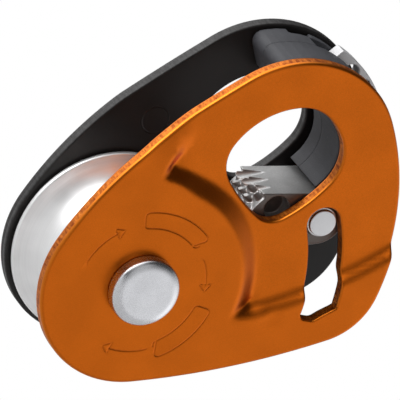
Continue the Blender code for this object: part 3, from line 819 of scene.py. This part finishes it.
for i in range(1, 10):
    low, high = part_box(f"bearing_ball_{i}")
    bm = bmesh.new()
    bmesh.ops.create_uvsphere(bm, u_segments=24, v_segments=14, radius=(high.y - low.y) / 2,
                              matrix=Matrix.Translation((low + high) / 2))
    mesh = bpy.data.meshes.new(f"ball_{i}")
    bm.to_mesh(mesh)
    bm.free()
    ball = bpy.data.objects.new(f"ball_{i}", mesh)
    bpy.context.scene.collection.objects.link(ball)
    put(finish_mesh(ball), "ball_set", [f"bearing_ball_{i}"], RACE_STEEL)
put(softened("ball_cage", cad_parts["bearing_cage"].data, 0.1, 3, 0.3), "ball_set",
    ["bearing_cage"], LINER)

for i, rivet in enumerate(RIVETS):
    node = f"body_rivet_{i + 1}"
    y0, y1 = span(node)
    outline = fillet([(0, y0), (2.5, y0), (1.5, y0 + 1.0), (1.5, y1), (0, y1)],
                     [0, 0.15, 0.1, 0.15, 0], 3, False)
    put(turned(f"rivet_{i + 1}", outline, rivet, 40, 30), "frame", [node], PIN_STEEL)


# ---- cam -------------------------------------------------------------------------------------
def scratch(name, bm):
    mesh = bpy.data.meshes.new(name)
    bmesh.ops.recalc_face_normals(bm, faces=bm.faces)
    bm.to_mesh(mesh)
    bm.free()
    obj = bpy.data.objects.new(name, mesh)
    bpy.context.scene.collection.objects.link(obj)
    return obj


def block(name, outline, y0, y1):
    bm = bmesh.new()
    lower = [bm.verts.new(at(x, y0, h)) for x, h in outline]
    upper = [bm.verts.new(at(x, y1, h)) for x, h in outline]
    bm.faces.new(lower)
    bm.faces.new(upper[::-1])
    for i in range(len(outline)):
        j = (i + 1) % len(outline)
        bm.faces.new((lower[i], upper[i], upper[j], lower[j]))
    return scratch(name, bm)


def combine(obj, tool, operation):
    mod = obj.modifiers.new("b", "BOOLEAN")
    mod.operation = operation
    mod.solver = "EXACT"
    mod.object = tool
    graph = bpy.context.evaluated_depsgraph_get()
    mesh = bpy.data.meshes.new_from_object(obj.evaluated_get(graph))
    obj.modifiers.clear()
    obj.data = mesh
    bpy.data.objects.remove(tool, do_unlink=True)
    return obj


def spiral(t, less):
    """Point less inside the arc of the tooth tips, t runs from 0 to 1 along it."""
    a = math.radians(CAM_START + CAM_SWEEP * t)
    r = TEETH_TOP + (TEETH_TIP - TEETH_TOP) * t - less
    return CAM_X + r * math.cos(a), CAM_H + r * math.sin(a)


outline = [spiral(i / 12, TOOTH) for i in range(13)]
outline += arc(CAM_X, CAM_H, TEETH_TIP - 1.3, CAM_START + CAM_SWEEP + 3, CAM_START + CAM_SWEEP + 9, 2)
outline += arc(CAM_X, CAM_H, 4.9, 322, 499, 30)
a = math.radians(CAM_START - 3)
outline += [(CAM_X + 12.4 * math.cos(a), CAM_H + 12.4 * math.sin(a))]
cam = block("cam_jaw", outline, -CAM_HALF, CAM_HALF)
teeth = bmesh.new()
for row in range(TOOTH_ROWS):
    t = (row + 0.3) / TOOTH_ROWS
    ang = math.radians(CAM_START + CAM_SWEEP * t)
    out = Vector((math.cos(ang), 0, math.sin(ang)))
    lean = (out + Vector((math.sin(ang), 0, -math.cos(ang))) * 0.35).normalized()
    spin = lean.to_track_quat("Z", "Y").to_matrix().to_4x4()
    px, ph = spiral(t, TOOTH / 2 + 0.3)
    for lane in TOOTH_LANES[row % 2]:
        bmesh.ops.create_cone(teeth, cap_ends=True, segments=16, radius1=1.5 * MM, radius2=0.12 * MM,
                              depth=(TOOTH + 0.6) * MM, matrix=Matrix.Translation(at(px, lane, ph)) @ spin)
cones = scratch("teeth", teeth)
cones.modifiers.new("r", "REMESH").voxel_size = 0.11 * MM
combine(cam, cones, "UNION")
# tapered relief grooves run back from the teeth into the top face
top_a, top_b = Vector((5.2, 26.3)), Vector((12.2, 33.5))
slope = (top_b - top_a).normalized()
start = top_a - slope * 2.6
for lane, reach in RELIEF_LANES:
    long = reach + 2.6
    axis = Vector((slope.x, 0, slope.y))
    mid = start + slope * long / 2
    spin = axis.to_track_quat("Z", "Y").to_matrix().to_4x4()
    groove = bmesh.new()
    bmesh.ops.create_cone(groove, cap_ends=True, segments=24, radius1=1.9 * MM, radius2=0.02 * MM,
                          depth=long * MM, matrix=Matrix.Translation(at(mid.x, lane, mid.y)) @ spin)
    combine(cam, scratch("groove", groove), "DIFFERENCE")
hub = [(0, -5.6), (4.6, -5.6), (4.9, -5.3), (4.9, CAM_HALF - 0.2), (3.35, CAM_HALF), (3.35, 7.4), (0, 7.4)]
combine(cam, turned("hub", hub, (CAM_X, CAM_H), 64), "UNION")
bore = [(0, -9), (2.95, -9), (2.95, 9), (0, 9)]
combine(cam, turned("bore", bore, (CAM_X, CAM_H), 48), "DIFFERENCE")
recess = [(0, -7), (2.3, -7), (2.3, -CAM_HALF + 0.9), (2.0, -CAM_HALF + 2.4), (0, -CAM_HALF + 2.6)]
combine(cam, turned("recess", recess, CAM_RECESS, 40), "DIFFERENCE")
combine(cam, block("seam_groove", [(top_a.x - 0.09, top_a.y + 0.02), (top_b.x - 0.12, top_b.y - 0.02),
                                   (top_b.x - 1.5, top_b.y + 1.4), (top_a.x - 1.5, top_a.y + 1.4)],
                   -0.09, 0.09), "DIFFERENCE")
jaw = softened("toothed_cam", cam.data, 0.12, 2, 0.45)
bpy.data.objects.remove(cam, do_unlink=True)
put(jaw, "cam", ["cam"], CAST)

y0, y1 = span("cam_axle")
pin = fillet([(0, y0), (2.45, y0), (2.45, y0 + 0.65), (2.75, y0 + 0.68), (2.75, y0 + 1.55),
              (2.4, y0 + 1.55)], [0, 0.22, 0.06, 0.12, 0.1, 0], 4, False)
put(turned("cam_pin", pin + [(2.4, y1 - 0.2), (2.25, y1), (0, y1)], (CAM_X, CAM_H), 72, 30),
    "frame", ["cam_axle"], PIN_STEEL)

# ---- body, lever -----------------------------------------------------------------------------
# both halves are drawn up to their seam, which leaves a fine line
for name, node, pull in (("body_near", "body_front_half", SEAM_PULL),
                         ("body_far", "body_rear_half", -SEAM_PULL)):
    y0, y1 = span(node)
    seam = y1 if pull > 0 else y0
    body = softened(name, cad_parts[node].data, 0.2, 3, 0.4)
    for v in body.data.vertices:
        if abs(v.co.y / MM - seam) < SEAM_BAND:
            v.co.y += pull * MM
    put(body, "frame", [node], PLASTIC)
put(softened("lever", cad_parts["cam_catch"].data, 0.13, 3, 0.4), "catch",
    ["cam_catch"], LEVER_STEEL)


# ---- springs ---------------------------------------------------------------------------------
def coil(name, centre, axis, radius, wire, pitch, turns, start, lead):
    axis = Vector(axis).normalized()
    side = axis.orthogonal().normalized()
    other = axis.cross(side)
    steps = round(turns * 32)
    path = []
    for i in range(steps + 1):
        ang = math.radians(start) + 2 * math.pi * i / 32
        path.append(Vector(centre) + (side * math.cos(ang) + other * math.sin(ang)) * radius
                    + axis * pitch * i / 32)
    if lead > 0:
        path.insert(0, path[0] + (path[0] - path[1]).normalized() * lead)
        path.append(path[-1] + (path[-1] - path[-2]).normalized() * lead)
    curve = bpy.data.curves.new(name, "CURVE")
    curve.dimensions = "3D"
    curve.bevel_depth = wire / 2 * MM
    curve.bevel_resolution = 4
    curve.use_fill_caps = True
    spline = curve.splines.new("POLY")
    spline.points.add(len(path) - 1)
    for k, p in enumerate(path):
        spline.points[k].co = (*at(p.x, p.y, p.z), 1.0)
    obj = bpy.data.objects.new(name, curve)
    bpy.context.scene.collection.objects.link(obj)
    return obj


put(coil("torsion_spring", (CAM_X, 5.95, CAM_H), (0, 1, 0), 3.95, 0.6, 0.66, 1.75, 20, 2.4),
    "cam", ["cam_spring"], WIRE)
outward = Vector((math.cos(LEVER_SEAT), 0, math.sin(LEVER_SEAT)))
seat = Vector((LEVER_ARC[0], 3.85, LEVER_ARC[1])) + outward * LEVER_ARC[2]
put(coil("lever_spring", seat, outward, 1.0, 0.4, 0.76, 4.0, 0, 0),
    "catch", ["catch_spring"], WIRE)

# ---- camera ----------------------------------------------------------------------------------
camera_data = bpy.data.cameras.new("camera")
camera_data.lens = 624.6
camera_data.sensor_width = 36.0
camera_data.clip_start = 0.05
camera_data.clip_end = 20.0
camera = bpy.data.objects.new("camera", camera_data)
bpy.context.scene.collection.objects.link(camera)
RIGHT = Vector((0.5524, -0.3623, 0.7508)).normalized()
BACK = Vector((-0.5709, -0.8207, 0.0240)).normalized()
UP = BACK.cross(RIGHT).normalized()
RIGHT = UP.cross(BACK).normalized()
turn = Matrix((RIGHT, UP, BACK)).transposed().to_4x4()
camera.matrix_world = Matrix.Translation(Vector((-0.6769, -0.9750, 0.0132))) @ turn
bpy.context.scene.camera = camera

# ---- floor, backdrop and light ---------------------------------------------------------------
white = bpy.data.materials.new("studio_white")
white.use_nodes = True
white.node_tree.nodes["Principled BSDF"].inputs["Base Color"].default_value = (0.9, 0.9, 0.9, 1)
white.node_tree.nodes["Principled BSDF"].inputs["Roughness"].default_value = 0.9
bm = bmesh.new()
bmesh.ops.create_circle(bm, cap_ends=True, segments=96, radius=0.4,
                        matrix=Matrix.Translation((0, 0, -0.105)))
floor = scratch("floor", bm)
floor.data.materials.append(white)

world = bpy.data.worlds.new("studio")
bpy.context.scene.world = world
world.use_nodes = True
tree = world.node_tree
tree.nodes.clear()


def wnode(kind, **values):
    n = tree.nodes.new(kind)
    for key, value in values.items():
        setattr(n, key, value)
    return n


ray = wnode("ShaderNodeTexCoord").outputs["Generated"]
total = None


def lamp(direction, inner, outer, power, colour):
    """Soft round patch of light on the studio's walls, angles in degrees."""
    global total
    dot = wnode("ShaderNodeVectorMath", operation="DOT_PRODUCT")
    dot.inputs[1].default_value = direction.normalized()
    tree.links.new(ray, dot.inputs[0])
    ramp = wnode("ShaderNodeMapRange", interpolation_type="SMOOTHSTEP")
    ramp.inputs["From Min"].default_value = math.cos(math.radians(outer))
    ramp.inputs["From Max"].default_value = math.cos(math.radians(inner))
    tree.links.new(dot.outputs["Value"], ramp.inputs["Value"])
    scale = wnode("ShaderNodeVectorMath", operation="SCALE")
    scale.inputs[0].default_value = tuple(c * power for c in colour)
    tree.links.new(ramp.outputs["Result"], scale.inputs["Scale"])
    if total is None:
        total = scale.outputs[0]
    else:
        add = wnode("ShaderNodeVectorMath", operation="ADD")
        tree.links.new(total, add.inputs[0])
        tree.links.new(scale.outputs[0], add.inputs[1])
        total = add.outputs[0]


def toward(right, up, back):
    return RIGHT * right + UP * up + BACK * back


lamp(toward(-0.35, 0.9, 0.1), 18, 62, 2.3, (1, 1, 1))
lamp(toward(0.45, -0.86, 0.24), 16, 50, 0.82, (1, 1, 1))
lamp(toward(-0.95, -0.25, 0.1), 10, 60, 1.1, (1, 0.99, 0.98))
lamp(toward(0.72, -0.48, -0.5), 10, 46, 0.8, (1, 1, 1))
lamp(toward(0.12, 0.5, 0.86), 6, 32, 0.5, (1, 1, 1))
lamp(toward(0.5, -0.15, 0.85), 4, 25, 0.5, (1, 1, 1))
base = wnode("ShaderNodeVectorMath", operation="ADD")
base.inputs[1].default_value = (0.05, 0.05, 0.05)
tree.links.new(total, base.inputs[0])
lit = wnode("ShaderNodeBackground")
tree.links.new(base.outputs[0], lit.inputs["Color"])
plain = wnode("ShaderNodeBackground")
plain.inputs["Color"].default_value = (1, 1, 1, 1)
seen = wnode("ShaderNodeLightPath")
pick = wnode("ShaderNodeMixShader")
tree.links.new(seen.outputs["Is Camera Ray"], pick.inputs["Fac"])
tree.links.new(lit.outputs[0], pick.inputs[1])
tree.links.new(plain.outputs[0], pick.inputs[2])
out = wnode("ShaderNodeOutputWorld")
tree.links.new(pick.outputs[0], out.inputs["Surface"])

bpy.context.scene.view_settings.view_transform = "Standard"

light_data = bpy.data.lights.new("key", "AREA")
light_data.shape = "DISK"
light_data.size = 0.5
light_data.energy = 3.0
key = bpy.data.objects.new("key", light_data)
bpy.context.scene.collection.objects.link(key)
key.location = toward(-0.45, 0.85, 0.45) * 0.9
key.rotation_mode = "QUATERNION"
key.rotation_quaternion = (-key.location).to_track_quat("-Z", "Y")
